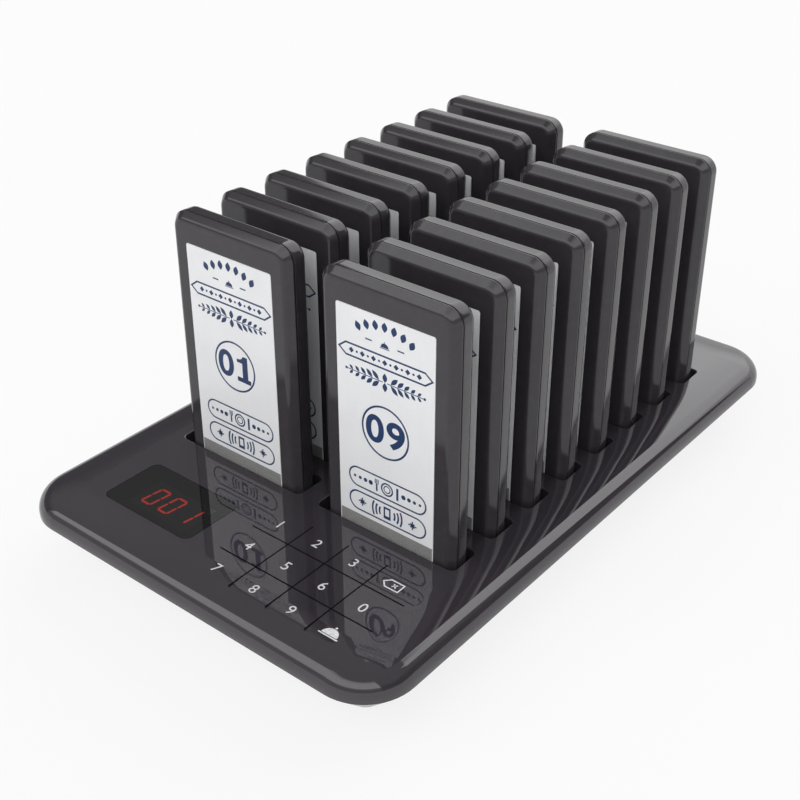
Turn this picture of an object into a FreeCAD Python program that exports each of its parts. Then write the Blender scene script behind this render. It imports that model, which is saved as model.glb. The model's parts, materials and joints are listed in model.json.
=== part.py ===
"""Guest pager system: a keypad base that stores and charges two rows of upright coaster pagers.

Millimetres. +X is the right side, -Y the front with the keypad and +Z up. The origin is on the counter,
under the middle of the base. Insets are measured inwards from the widest line of a body.
"""

import FreeCAD
import Part
import math
import os

Vec = FreeCAD.Vector

# Base: width and height of the flat deck above the counter; its length follows from the rows of pagers
base_width = 167.4
base_corner_radius = 19.4
deck_height = 27.0

# Top case: a gently falling margin, a round edge down to the widest line, then a short upright skirt
top_wall = 2.2
margin_run = 11.4
margin_drop = 1.0
edge_drop = 6.5
skirt_height = 1.1

# Bottom case: a hull that tucks in below the parting line
bottom_clearance = 2.0
bottom_wall = 2.2
tuck_inset = 15.5
tuck_round = 4.0
hull_step = 0.3
reveal_height = 0.4
reveal_depth = 0.8
lip_height = 1.4
lip_thickness = 1.2
lip_clearance = 0.15

# Pagers: one column on each side, counted from the front, shifted to leave room for the notches
pager_rows = 8
pager_columns = 2
column_pitch = 68.4
column_shift = 3.0
row_pitch = 22.1
front_zone = 62.3
back_zone = 37.0
pager_width = 55.5
pager_height = 109.0
pager_depth = 10.2
pager_corner_radius = 6.0

# Pager shells: front cover, belt of greatest width with the seam in it, rear cover
cover_depth = 3.1
cover_draft = 2.4
rear_draft = 0.2
front_belt = 0.4
rear_belt = 0.7
face_round = 2.6
back_round = 3.0
pager_wall = 1.4
seam_width = 0.5
seam_depth = 0.6
cover_wall = 2.2
seam_lip = 0.8
seam_lip_height = 1.1
seam_clearance = 0.1

# Label on the front cover, with the margins around it
label_side_margin = 7.75
label_top_margin = 10.4
label_foot_margin = 10.6
label_thickness = 0.25
label_recess = 0.15
label_corner_radius = 0.8
label_clearance = 0.1

# Inside a pager: the circuit board with its margins to the outside, what it carries, the cell and the motor
circuit_side = 4.75
circuit_foot = 4.0
circuit_head = 6.0
circuit_thickness = 1.0
circuit_setback = 4.2
stud_radius = 2.0
stud_inset = 5.0
chip_size = 8.0
chip_thickness = 1.2
lamp_size = 2.4
lamp_thickness = 1.0
lamp_inset = 2.5
cell_width = 30.0
cell_height = 40.0
cell_thickness = 3.2
cell_foot = 32.0
motor_radius = 5.0
motor_thickness = 2.7
motor_drop = 12.0
pad_spread = 28.0
pad_width = 3.0
pad_depth = 3.0
pad_top = 9.0
pad_rise = 0.45
pad_clearance = 0.2

# Wells that hold the pagers
seat_depth = 15.0
slot_left_gap = 3.2
slot_right_gap = 0.9
slot_front_gap = 0.5
slot_back_gap = 2.4
slot_corner_radius = 2.0
slot_mouth_round = 0.5
notch_depth = 6.0
well_wall = 1.5
well_floor = 1.5
contact_window_x = 2.6
contact_window_y = 5.2

# Charging contacts on the charge board, and the boards below the wells
board_thickness = 1.2
board_gap = 2.0
contact_width = 1.6
contact_thickness = 0.4
contact_foot = 2.0
contact_tip = 1.0
charge_board_width = 124.0
charge_board_front = 8.65
board_link_x = 20.0
board_link_width = 14.0
board_link_height = 2.5
board_joint = 4.0
control_board_width = 122.0
control_board_length = 32.0

# Parts on the control board
processor_x = 15.4
processor_size = 10.0
processor_thickness = 1.6
radio_x = -46.0
radio_width = 20.0
radio_length = 15.0
radio_height = 3.0
aerial_radius = 2.5
aerial_length = 38.0
aerial_gap = 1.1
aerial_setback = 5.0
beeper_x = 48.0
beeper_radius = 6.0
beeper_height = 7.0
capacitor_x = 33.0
capacitor_radius = 4.0
capacitor_height = 10.0

# Display at the front left
window_x = -35.2
window_front = 30.9
window_width = 42.8
window_length = 25.3
window_thickness = 1.2
window_corner_radius = 3.0
window_clearance = 0.15
module_x = -33.0
module_front = 29.3
module_width = 28.0
module_length = 14.4
module_height = 7.0
module_gap = 0.2
module_clearance = 0.5
display_board_thickness = 1.6
display_stud_inset = 2.6
display_stud_radius = 2.2

# Touch keypad at the front right, printed on the deck with its board bonded below
keypad_x = 30.8
keypad_front = 30.5
touch_board_width = 68.6
touch_board_length = 42.0
touch_board_thickness = 1.0
touch_seat = 0.5
header_width = 12.0
header_length = 2.5
header_back = 8.4
display_header_right = 7.1

# Power inlet in the back wall
jack_width = 9.0
jack_height = 8.4
jack_length = 14.0
jack_bore_radius = 3.2
jack_bore_depth = 9.5
jack_bore_height = 4.2
jack_pin_radius = 1.05
jack_pin_length = 8.5
jack_setback = 0.5
jack_clearance = 0.3
jack_nose = 6.3
plug_radius = 4.6
bay_wall = 1.4
bay_depth = 3.0

# Feet
foot_radius = 6.0
foot_thickness = 3.0
foot_clearance = 0.15
foot_from_side = 28.2
foot_from_end = 31.85
foot_edge_round = 0.6

# Case screws
screw_radius = 1.45
screw_length = 16.0
screw_head_radius = 2.7
screw_head_height = 2.2
screw_side_x = 44.0
screw_recess = 2.6
screw_clearance = 0.25
thread_clearance = 0.05
boss_radius = 3.5
boss_gap = 1.0
back_boss_gap = 2.4
centre_boss_front = 3.6
post_radius = 4.2
cross_width = 0.7
cross_length = 3.0
cross_depth = 1.2

# Board screws
small_screw_radius = 1.0
small_screw_length = 4.5
small_head_radius = 1.9
small_head_height = 1.3
small_cross_width = 0.5
small_cross_length = 2.2
small_cross_depth = 0.7
small_post_radius = 2.6
small_post_inset = 4.0
support_rib_width = 1.6
stud_tip_room = 0.5
post_tip_room = 0.3

# Places and levels that follow from the sizes above
base_length = front_zone + (pager_rows - 1) * row_pitch + pager_depth + back_zone
front_y = -base_length / 2
back_y = base_length / 2
first_row_y = front_y + front_zone
part_line = deck_height - margin_drop - edge_drop - skirt_height
hull_top = part_line - reveal_height
hull_slope = (tuck_inset - hull_step) / (hull_top - bottom_clearance)
hull_wall = bottom_wall * math.hypot(1, hull_slope)
lip_inset = top_wall + lip_clearance
lip_inner = lip_inset + lip_thickness
floor_top = bottom_clearance + bottom_wall
deck_under = deck_height - top_wall
deck_middle = deck_height - top_wall / 2
seat = deck_height - seat_depth
well_under = seat - well_floor
board_top = well_under - board_gap
board_under = board_top - board_thickness
window_y = front_y + window_front
window_under = deck_height - window_thickness
module_y = front_y + module_front
module_top = window_under - module_gap
display_board_top = module_top - module_height
display_board_under = display_board_top - display_board_thickness
keypad_y = front_y + keypad_front
touch_top = deck_under - touch_seat
touch_under = touch_top - touch_board_thickness
slot_left = pager_width / 2 + slot_left_gap
slot_right = pager_width / 2 + slot_right_gap
well_front_y = first_row_y - slot_front_gap - well_wall
last_row_y = first_row_y + (pager_rows - 1) * row_pitch
well_back_y = last_row_y + pager_depth + slot_back_gap + well_wall
charge_front_y = well_front_y - charge_board_front
control_back_y = charge_front_y - board_joint
control_front_y = control_back_y - control_board_length
aerial_x = aerial_gap + small_head_radius + small_post_inset - control_board_width / 2
label_width = pager_width - 2 * label_side_margin
label_height = pager_height - label_top_margin - label_foot_margin
circuit_width = pager_width - 2 * circuit_side
circuit_height = pager_height - circuit_foot - circuit_head
circuit_back = circuit_setback + circuit_thickness
pad_middle = circuit_back + pad_depth / 2
jack_face_y = back_y - hull_step - (hull_top - board_top) * hull_slope - jack_setback
jack_bore_z = board_top + jack_bore_height
charge_back_y = jack_face_y - jack_nose
screw_seat = bottom_clearance + screw_recess
centre_screw_x = (window_x + window_width / 2 + keypad_x - touch_board_width / 2) / 2

case_screws = [
    (-screw_side_x, well_front_y - boss_gap - boss_radius),
    (screw_side_x, well_front_y - boss_gap - boss_radius),
    (-screw_side_x, well_back_y + back_boss_gap + boss_radius),
    (screw_side_x, well_back_y + back_boss_gap + boss_radius),
    (centre_screw_x, module_y - centre_boss_front),
]
feet = [
    (side * (base_width / 2 - foot_from_side), end * (base_length / 2 - foot_from_end))
    for side in (-1, 1)
    for end in (-1, 1)
]
display_studs = [
    (
        window_x + side * (window_width / 2 - display_stud_inset),
        window_y + end * (window_length / 2 - display_stud_inset),
    )
    for side in (-1, 1)
    for end in (-1, 1)
]
control_posts = [
    (side * (control_board_width / 2 - small_post_inset), y)
    for side in (-1, 1)
    for y in (control_front_y + small_post_inset, control_back_y - small_post_inset)
]
pagers = [
    (column_shift + (column - (pager_columns - 1) / 2) * column_pitch, first_row_y + row * row_pitch)
    for column in range(pager_columns)
    for row in range(pager_rows)
]


# Basic solids
def box(x0, x1, y0, y1, z0, z1):
    return Part.makeBox(x1 - x0, y1 - y0, z1 - z0, Vec(x0, y0, z0))


def block(x, y, width, length, z0, z1):
    """A box centred on (x, y)."""
    return box(x - width / 2, x + width / 2, y - length / 2, y + length / 2, z0, z1)


def post(x, y, z0, z1, radius):
    return Part.makeCylinder(radius, z1 - z0, Vec(x, y, z0))


def rounded(solid, radius, axis):
    """Rounds the solid's straight edges that run along the axis."""
    edges = []
    for edge in solid.Edges:
        start, end = edge.Vertexes[0].Point, edge.Vertexes[-1].Point
        if (end - start).cross(axis).Length < 1e-6:
            edges.append(edge)
    return solid.makeFillet(radius, edges)


def outline(corners):
    """A closed wire in the XZ plane through (x, z, radius) corners, each rounded to its radius."""
    edges = []
    ends = []
    for index, (x, z, radius) in enumerate(corners):
        corner = Vec(x, 0, z)
        before = Vec(corners[index - 1][0], 0, corners[index - 1][1]) - corner
        following = corners[(index + 1) % len(corners)]
        after = Vec(following[0], 0, following[1]) - corner
        half = before.getAngle(after) / 2
        if radius == 0:
            ends.append((corner, corner))
            continue
        before.normalize()
        after.normalize()
        start = corner + before * (radius / math.tan(half))
        end = corner + after * (radius / math.tan(half))
        bisector = before + after
        bisector.normalize()
        middle = corner + bisector * (radius / math.sin(half) - radius)
        edges.append(Part.Arc(start, middle, end).toShape())
        ends.append((start, end))
    for index, (start, _) in enumerate(ends):
        previous_end = ends[index - 1][1]
        if (start - previous_end).Length > 1e-6:
            edges.append(Part.LineSegment(previous_end, start).toShape())
    return Part.Wire(Part.__sortEdges__(edges))


def slab(corners, half_x, half_y, corner_radius):
    """A rounded rectangle whose edge has the given (inset, z, radius) corners.

    The first and last corners lie on the axis of the plan's corner arcs, at an inset of corner_radius.
    """
    section = Part.Face(outline([(corner_radius - inset, z, radius) for inset, z, radius in corners]))
    quarter = section.revolve(Vec(0, 0, 0), Vec(0, 0, 1), 90)
    run_x = half_x - corner_radius
    run_y = half_y - corner_radius
    low = min(corners[0][1], corners[-1][1])
    high = max(corners[0][1], corners[-1][1])
    pieces = []
    for turn in range(4):
        across, along = (run_y, run_x) if turn % 2 else (run_x, run_y)
        side = section.extrude(Vec(0, 2 * along, 0))
        side.translate(Vec(across, -along, 0))
        corner = quarter.copy()
        corner.translate(Vec(across, along, 0))
        for piece in (side, corner):
            piece.rotate(Vec(0, 0, 0), Vec(0, 0, 1), 90 * turn)
            pieces.append(piece)
    core = box(-run_x, run_x, -run_y, run_y, low, high)
    return core.multiFuse(pieces).removeSplitter()


def one_solid(shape):
    """The single solid of a boolean result."""
    return shape.removeSplitter().Solids[0]


# Base
def base_slab(corners):
    return slab(corners, base_width / 2, base_length / 2, base_corner_radius)


def crown(wall):
    """The top case's edge from the flat deck to the widest line, on a surface that lies wall inside it."""
    slope = 2 * math.atan2(margin_drop, margin_run)
    margin_radius = margin_run / math.sin(slope)
    edge_radius = edge_drop / math.cos(slope)
    knee_inset = edge_radius * (1 - math.sin(slope)) + margin_run - margin_radius * math.tan(slope / 2)
    knee_drop = wall * math.tan((math.pi / 2 - slope) / 2)
    return [
        (base_corner_radius, deck_height - wall, 0),
        (knee_inset + wall * math.tan(slope / 2), deck_height - wall, margin_radius - wall),
        (wall, deck_height - knee_inset * math.tan(slope) - knee_drop, edge_radius - wall),
    ]


def slot_cutter(x, y):
    """The hole for one pager: a mouth with a wider notch at its left, and the fitted well below."""
    half_y = (pager_depth + slot_front_gap + slot_back_gap) / 2
    half_x = (slot_left + slot_right) / 2
    middle_y = y - slot_front_gap + half_y
    above = deck_height + 1
    notch_floor = deck_height - notch_depth
    mouth_radius = slot_corner_radius + slot_mouth_round
    mouth = slab(
        [
            (mouth_radius, above, 0),
            (0, above, 0),
            (0, deck_height, 0),
            (slot_mouth_round, deck_height, slot_mouth_round),
            (slot_mouth_round, notch_floor, 0),
            (mouth_radius, notch_floor, 0),
        ],
        half_x + slot_mouth_round,
        half_y + slot_mouth_round,
        mouth_radius,
    )
    mouth.translate(Vec(x + (slot_right - slot_left) / 2, middle_y, 0))
    well = block(x, middle_y, 2 * slot_right, 2 * half_y, seat, deck_height - notch_depth / 2)
    return mouth.fuse(rounded(well, slot_corner_radius, Vec(0, 0, 1)))


def well_block(x, y):
    return box(
        x - slot_left - well_wall,
        x + slot_right + well_wall,
        y - slot_front_gap - well_wall,
        y + pager_depth + slot_back_gap + well_wall,
        well_under,
        deck_middle,
    )


def contact_places(x, y):
    return [(x + side * pad_spread / 2, y + pad_middle) for side in (-1, 1)]


def top_case():
    """Deck with the pager wells, screw bosses and board seats moulded below it."""
    outer = base_slab(crown(0) + [(0, part_line, 0), (base_corner_radius, part_line, 0)])
    inner = base_slab(
        crown(top_wall) + [(top_wall, part_line - 1, 0), (base_corner_radius, part_line - 1, 0)]
    )
    solids = [well_block(x, y) for x, y in pagers]
    solids += [post(x, y, board_top, deck_middle, boss_radius) for x, y in case_screws]
    solids += [post(x, y, display_board_top, deck_middle, display_stud_radius) for x, y in display_studs]
    solids.append(block(keypad_x, keypad_y, touch_board_width, touch_board_length, touch_top, deck_middle))
    pocket = block(
        window_x,
        window_y,
        window_width + 2 * window_clearance,
        window_length + 2 * window_clearance,
        window_under,
        deck_height + 1,
    )
    holes = [slot_cutter(x, y) for x, y in pagers]
    holes.append(rounded(pocket, window_corner_radius + window_clearance, Vec(0, 0, 1)))
    holes.append(
        block(
            module_x,
            module_y,
            module_width + 2 * module_clearance,
            module_length + 2 * module_clearance,
            display_board_top,
            deck_height,
        )
    )
    for x, y in pagers:
        for contact_x, contact_y in contact_places(x, y):
            holes.append(
                block(contact_x, contact_y, contact_window_x, contact_window_y, well_under - 1, seat + 1)
            )
    for x, y in case_screws:
        holes.append(
            post(x, y, board_top - 1, screw_seat + screw_length + 1, screw_radius + thread_clearance)
        )
    for x, y in display_studs:
        tip = display_board_under + small_screw_length + stud_tip_room
        holes.append(post(x, y, display_board_top - 1, tip, small_screw_radius + thread_clearance))
    return one_solid(outer.cut(inner).multiFuse(solids).cut(holes))


def bottom_case():
    """Hull with the lip that locates the top case, screw and board posts, and the bay of the inlet."""
    outer = base_slab(
        [
            (base_corner_radius, part_line + lip_height, 0),
            (lip_inset, part_line + lip_height, 0),
            (lip_inset, part_line, 0),
            (reveal_depth, part_line, 0),
            (reveal_depth, hull_top, 0),
            (hull_step, hull_top, 0),
            (tuck_inset, bottom_clearance, tuck_round),
            (base_corner_radius, bottom_clearance, 0),
        ]
    )
    lip_foot = hull_top - (lip_inner - hull_step - hull_wall) / hull_slope
    inner_inset = hull_step + hull_wall + (hull_top - floor_top) * hull_slope
    inner = base_slab(
        [
            (base_corner_radius, part_line + lip_height + 1, 0),
            (lip_inner, part_line + lip_height + 1, 0),
            (lip_inner, lip_foot, 0),
            (inner_inset, floor_top, 0),
            (base_corner_radius, floor_top, 0),
        ]
    )
    plug_width = 2 * plug_radius
    solids = [post(x, y, bottom_clearance, board_under, post_radius) for x, y in case_screws]
    solids += [post(x, y, bottom_clearance, board_under, small_post_radius) for x, y in control_posts]
    for column in (-1, 1):
        rib_x = column_shift + column * column_pitch / 2
        rib_y = (well_front_y + well_back_y) / 2
        solids.append(
            block(rib_x, rib_y, support_rib_width, well_back_y - well_front_y, bottom_clearance, board_under)
        )
    solids.append(
        box(
            -plug_radius - bay_wall,
            plug_radius + bay_wall,
            jack_face_y - bay_depth,
            back_y,
            bottom_clearance,
            hull_top,
        )
    )
    shell = outer.cut(inner.cut(solids))
    holes = [
        box(
            -plug_radius,
            plug_radius,
            jack_face_y,
            back_y + 1,
            jack_bore_z - plug_width / 2,
            jack_bore_z + plug_width / 2,
        ),
        box(
            -jack_width / 2 - jack_clearance,
            jack_width / 2 + jack_clearance,
            jack_face_y - bay_depth - 1,
            jack_face_y + 1,
            board_top - jack_clearance,
            board_top + jack_height + jack_clearance,
        ),
    ]
    for x, y in case_screws:
        holes.append(
            post(x, y, bottom_clearance - 1, screw_seat, screw_head_radius + screw_clearance)
        )
        holes.append(post(x, y, screw_seat - 1, board_under + 1, screw_radius + screw_clearance))
    for x, y in control_posts:
        tip = board_top - small_screw_length - post_tip_room
        holes.append(post(x, y, tip, board_under + 1, small_screw_radius + thread_clearance))
    for x, y in feet:
        holes.append(post(x, y, bottom_clearance - 1, foot_thickness, foot_radius + foot_clearance))
    return one_solid(shell.cut(holes))


def display_window():
    pane = block(window_x, window_y, window_width, window_length, window_under, deck_height)
    return rounded(pane, window_corner_radius, Vec(0, 0, 1))


def header(x, y, z1):
    """A pin header that stands on the control board and carries the signals of the board above it."""
    return block(x, y, header_width, header_length, board_top, z1)


def display_module():
    """The three-digit display block on its board, with the header that joins it to the control board."""
    digits = block(module_x, module_y, module_width, module_length, display_board_top, module_top)
    board = block(
        window_x, window_y, window_width, window_length, display_board_under, display_board_top
    )
    for x, y in display_studs:
        board = board.cut(
            post(
                x, y, display_board_under - 1, display_board_top + 1, small_screw_radius + screw_clearance
            )
        )
    pins = header(window_x + display_header_right, window_y + header_back, display_board_under)
    return Part.makeCompound([digits, board, pins])


def touch_board():
    """The board that senses a finger through the deck, with its header."""
    board = block(keypad_x, keypad_y, touch_board_width, touch_board_length, touch_under, touch_top)
    pins = header(keypad_x, window_y + header_back, touch_under)
    return Part.makeCompound([board, pins])


def control_board():
    """Processor, radio with its aerial, beeper and reservoir capacitor on one board."""
    board = box(
        -control_board_width / 2,
        control_board_width / 2,
        control_front_y,
        control_back_y,
        board_under,
        board_top,
    )
    for x, y in control_posts + case_screws[-1:]:
        hole = small_screw_radius if (x, y) in control_posts else screw_radius
        board = board.cut(post(x, y, board_under - 1, board_top + 1, hole + screw_clearance))
    middle_y = (control_front_y + control_back_y) / 2
    aerial_y = control_front_y + aerial_setback
    processor = block(
        processor_x, middle_y, processor_size, processor_size, board_top, board_top + processor_thickness
    )
    radio = block(radio_x, middle_y, radio_width, radio_length, board_top, board_top + radio_height)
    aerial = Part.makeCylinder(
        aerial_radius, aerial_length, Vec(aerial_x, aerial_y, board_top + aerial_radius), Vec(1, 0, 0)
    )
    beeper = post(beeper_x, middle_y, board_top, board_top + beeper_height, beeper_radius)
    capacitor = post(capacitor_x, middle_y, board_top, board_top + capacitor_height, capacitor_radius)
    return Part.makeCompound([board, processor, radio, aerial, beeper, capacitor])


def charge_board():
    """The board below the wells, and the connector that links it to the control board."""
    board = box(
        -charge_board_width / 2,
        charge_board_width / 2,
        charge_front_y,
        charge_back_y,
        board_under,
        board_top,
    )
    for x, y in case_screws[:-1]:
        board = board.cut(
            post(x, y, board_under - 1, board_top + 1, screw_radius + screw_clearance)
        )
    link_y = charge_front_y - board_joint / 2
    link = block(
        board_link_x,
        link_y,
        board_link_width,
        2 * board_joint,
        board_top,
        board_top + board_link_height,
    )
    return Part.makeCompound([board, link])


def charge_contact(x, y):
    """A bent leaf spring: a foot on the board, a riser and a tip that meets the pager's pad."""
    tip_z = seat + pad_rise
    profile = [
        (-contact_foot, board_top),
        (contact_foot, board_top),
        (contact_foot, board_top + contact_thickness),
        (contact_tip, tip_z),
        (-contact_tip, tip_z),
        (-contact_tip, tip_z - contact_thickness),
        (contact_tip - contact_thickness, tip_z - contact_thickness),
        (contact_foot - contact_thickness, board_top + contact_thickness),
        (-contact_foot, board_top + contact_thickness),
    ]
    points = [Vec(x - contact_width / 2, y + along, z) for along, z in profile]
    return Part.Face(Part.makePolygon(points + points[:1])).extrude(Vec(contact_width, 0, 0))


def charge_contacts():
    leaves = []
    for x, y in pagers:
        leaves += [charge_contact(*place) for place in contact_places(x, y)]
    return Part.makeCompound(leaves)


def power_jack():
    """Barrel inlet on the charge board, with its centre pin."""
    body = box(
        -jack_width / 2,
        jack_width / 2,
        jack_face_y - jack_length,
        jack_face_y,
        board_top,
        board_top + jack_height,
    )
    bore_end = jack_face_y - jack_bore_depth
    bore = Part.makeCylinder(
        jack_bore_radius, jack_bore_depth + 1, Vec(0, bore_end, jack_bore_z), Vec(0, 1, 0)
    )
    pin = Part.makeCylinder(
        jack_pin_radius, jack_pin_length, Vec(0, bore_end, jack_bore_z), Vec(0, 1, 0)
    )
    return Part.makeCompound([body.cut(bore), pin])


def rubber_feet():
    discs = []
    for x, y in feet:
        disc = post(x, y, 0, foot_thickness, foot_radius)
        rim = [edge for edge in disc.Edges if edge.BoundBox.ZMax < 1e-6]
        discs.append(disc.makeFillet(foot_edge_round, rim))
    return Part.makeCompound(discs)


def cross_screw(radius, length, head_radius, head_height, cross):
    """A pan-head screw with its head's seat at the origin and its shank up; cross is width, length, depth."""
    width, reach, depth = cross
    screw = post(0, 0, -head_height, 0, head_radius).fuse(post(0, 0, 0, length, radius))
    bars = [
        block(0, 0, reach, width, -head_height - 1, depth - head_height),
        block(0, 0, width, reach, -head_height - 1, depth - head_height),
    ]
    return one_solid(screw.cut(bars))


def case_screw_set():
    screw = cross_screw(
        screw_radius,
        screw_length,
        screw_head_radius,
        screw_head_height,
        (cross_width, cross_length, cross_depth),
    )
    return Part.makeCompound([screw.translated(Vec(x, y, screw_seat)) for x, y in case_screws])


def board_screw_set():
    """Screws up into the display board's studs and down into the control board's posts."""
    up = cross_screw(
        small_screw_radius,
        small_screw_length,
        small_head_radius,
        small_head_height,
        (small_cross_width, small_cross_length, small_cross_depth),
    )
    down = up.rotated(Vec(0, 0, 0), Vec(1, 0, 0), 180)
    screws = [up.translated(Vec(x, y, display_board_under)) for x, y in display_studs]
    screws += [down.translated(Vec(x, y, board_top)) for x, y in control_posts]
    return Part.makeCompound(screws)


# One pager, with the middle of its front face's foot at the origin
def pager_slab(corners):
    """A slab of the pager's plan, with its (inset, setback, radius) corners counted back from the face."""
    shell = slab(corners, pager_width / 2, pager_height / 2, pager_corner_radius)
    shell.rotate(Vec(0, 0, 0), Vec(1, 0, 0), -90)
    shell.translate(Vec(0, 0, pager_height / 2))
    return shell


def pager_studs():
    inset = (pager_height - circuit_height) / 2 + stud_inset
    return [
        (side * (circuit_width / 2 - stud_inset), z)
        for side in (-1, 1)
        for z in (inset, pager_height - inset)
    ]


def stud(x, z, y0, y1):
    return Part.makeCylinder(stud_radius, y1 - y0, Vec(x, y0, z), Vec(0, 1, 0))


def label_panel(clearance, y0, y1):
    top = pager_height - label_top_margin
    panel = box(
        -label_width / 2 - clearance,
        label_width / 2 + clearance,
        y0,
        y1,
        top - label_height - clearance,
        top + clearance,
    )
    return rounded(panel, label_corner_radius + clearance, Vec(0, 1, 0))


def front_cover():
    axis = pager_corner_radius
    outer = pager_slab(
        [
            (axis, 0, 0),
            (cover_draft, 0, face_round),
            (0, cover_depth - front_belt, 0),
            (0, cover_depth, 0),
            (axis, cover_depth, 0),
        ]
    )
    hollow = pager_slab(
        [
            (axis, pager_wall, 0),
            (cover_wall, pager_wall, 0),
            (cover_wall, cover_depth + 1, 0),
            (axis, cover_depth + 1, 0),
        ]
    )
    studs = [stud(x, z, pager_wall / 2, circuit_setback) for x, z in pager_studs()]
    shell = outer.cut(hollow).multiFuse(studs)
    return one_solid(shell.cut(label_panel(label_clearance, -1, label_recess)))


def label():
    return label_panel(0, label_recess - label_thickness, label_recess)


def rear_cover():
    axis = pager_corner_radius
    lip_outer = cover_wall + seam_clearance
    wall_inset = lip_outer + seam_lip
    lip_front = cover_depth - seam_lip_height
    belt_back = cover_depth + seam_width + rear_belt
    outer = pager_slab(
        [
            (axis, lip_front, 0),
            (lip_outer, lip_front, 0),
            (lip_outer, cover_depth, 0),
            (seam_depth, cover_depth, 0),
            (seam_depth, cover_depth + seam_width, 0),
            (0, cover_depth + seam_width, 0),
            (0, belt_back, 0),
            (rear_draft, pager_depth, back_round),
            (axis, pager_depth, 0),
        ]
    )
    inside_back = pager_depth - pager_wall
    hollow = pager_slab(
        [
            (axis, lip_front - 1, 0),
            (wall_inset, lip_front - 1, 0),
            (wall_inset, inside_back, 0),
            (axis, inside_back, 0),
        ]
    )
    studs = [stud(x, z, circuit_back, pager_depth - pager_wall / 2) for x, z in pager_studs()]
    windows = [
        block(
            side * pad_spread / 2,
            pad_middle,
            pad_width + 2 * pad_clearance,
            pad_depth + 2 * pad_clearance,
            -1,
            wall_inset + 1,
        )
        for side in (-1, 1)
    ]
    return one_solid(outer.cut(hollow).multiFuse(studs).cut(windows))


def circuit():
    """The pager's board with its chip and its four signal lamps soldered on."""
    half = circuit_width / 2
    top = circuit_foot + circuit_height
    board = box(-half, half, circuit_setback, circuit_back, circuit_foot, top)
    parts = [
        box(
            -chip_size / 2,
            chip_size / 2,
            circuit_setback - chip_thickness,
            circuit_setback,
            (circuit_foot + top - chip_size) / 2,
            (circuit_foot + top + chip_size) / 2,
        )
    ]
    for side in (-1, 1):
        for z in (circuit_foot + lamp_inset, top - lamp_inset):
            lamp_x = side * (half - lamp_inset - 2 * stud_inset)
            lamp_y = circuit_setback - lamp_thickness / 2
            parts.append(
                block(lamp_x, lamp_y, lamp_size, lamp_thickness, z - lamp_size / 2, z + lamp_size / 2)
            )
    return one_solid(board.multiFuse(parts))


def charge_pad(side):
    return block(side * pad_spread / 2, pad_middle, pad_width, pad_depth, pad_rise, pad_top)


def rear_assembly():
    """Rear cover with what is screwed, soldered or bonded inside it."""
    cell = box(
        -cell_width / 2,
        cell_width / 2,
        circuit_back,
        circuit_back + cell_thickness,
        cell_foot,
        cell_foot + cell_height,
    )
    motor_z = circuit_foot + circuit_height - motor_drop
    motor = Part.makeCylinder(motor_radius, motor_thickness, Vec(0, circuit_back, motor_z), Vec(0, 1, 0))
    return Part.makeCompound([rear_cover(), circuit(), cell, motor, charge_pad(-1), charge_pad(1)])


# Every node of the product
def build():
    nodes = {
        "top_case": top_case(),
        "bottom_case": bottom_case(),
        "display_window": display_window(),
        "display_module": display_module(),
        "touch_board": touch_board(),
        "control_board": control_board(),
        "charge_board": charge_board(),
        "charge_contacts": charge_contacts(),
        "power_jack": power_jack(),
        "rubber_feet": rubber_feet(),
        "case_screws": case_screw_set(),
        "board_screws": board_screw_set(),
    }
    pager_parts = {"front_cover": front_cover(), "label": label(), "rear_assembly": rear_assembly()}
    for number, (x, y) in enumerate(pagers, start=1):
        for name, shape in pager_parts.items():
            nodes[f"pager_{number:02d}_{name}"] = shape.translated(Vec(x, y, seat))
    return nodes


os.makedirs("parts", exist_ok=True)
for node, shape in build().items():
    shape.exportStep(f"parts/{node}.step")
    print(node, len(shape.Solids), "solids", "valid" if shape.isValid() else "NOT VALID", round(shape.Volume))
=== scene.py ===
"""Guest pager system: a keypad base with a digit display and sixteen coaster pagers in charging slots.

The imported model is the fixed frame. Everything here is in metres, with the front of the base towards -Y.
Lengths that are easier to read in millimetres are written as a number times MM.
"""

import json
import math

import bmesh
import bpy
from bpy.props import FloatProperty, FloatVectorProperty, IntProperty, PointerProperty, StringProperty
from mathutils import Matrix, Vector

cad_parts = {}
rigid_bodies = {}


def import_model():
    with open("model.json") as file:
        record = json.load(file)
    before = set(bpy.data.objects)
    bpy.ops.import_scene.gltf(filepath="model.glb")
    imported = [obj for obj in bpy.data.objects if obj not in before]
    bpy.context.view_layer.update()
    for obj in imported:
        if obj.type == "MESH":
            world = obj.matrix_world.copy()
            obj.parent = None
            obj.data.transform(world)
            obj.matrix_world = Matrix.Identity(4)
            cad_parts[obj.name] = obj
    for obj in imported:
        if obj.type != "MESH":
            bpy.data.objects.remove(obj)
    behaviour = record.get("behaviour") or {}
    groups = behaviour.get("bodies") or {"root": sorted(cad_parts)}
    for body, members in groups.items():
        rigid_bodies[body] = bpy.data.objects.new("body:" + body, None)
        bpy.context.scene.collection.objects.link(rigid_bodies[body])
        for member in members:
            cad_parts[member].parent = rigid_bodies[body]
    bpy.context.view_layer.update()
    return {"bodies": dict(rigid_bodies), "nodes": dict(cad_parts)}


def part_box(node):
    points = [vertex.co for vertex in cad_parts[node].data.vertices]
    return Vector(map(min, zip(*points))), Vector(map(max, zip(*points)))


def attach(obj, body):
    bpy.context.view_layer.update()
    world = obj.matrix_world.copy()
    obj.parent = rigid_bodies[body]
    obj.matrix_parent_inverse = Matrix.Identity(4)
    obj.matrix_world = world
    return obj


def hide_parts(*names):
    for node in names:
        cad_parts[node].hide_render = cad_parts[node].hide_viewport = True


bl_info = {
    "name": "Guest Pager System",
    "version": (1, 0, 0),
    "blender": (4, 5, 0),
    "location": "View3D > Sidebar > Pager System",
    "description": "Builds the finishes, prints and stage of a guest pager system on its packed frame",
    "category": "Object",
}

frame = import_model()

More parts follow.
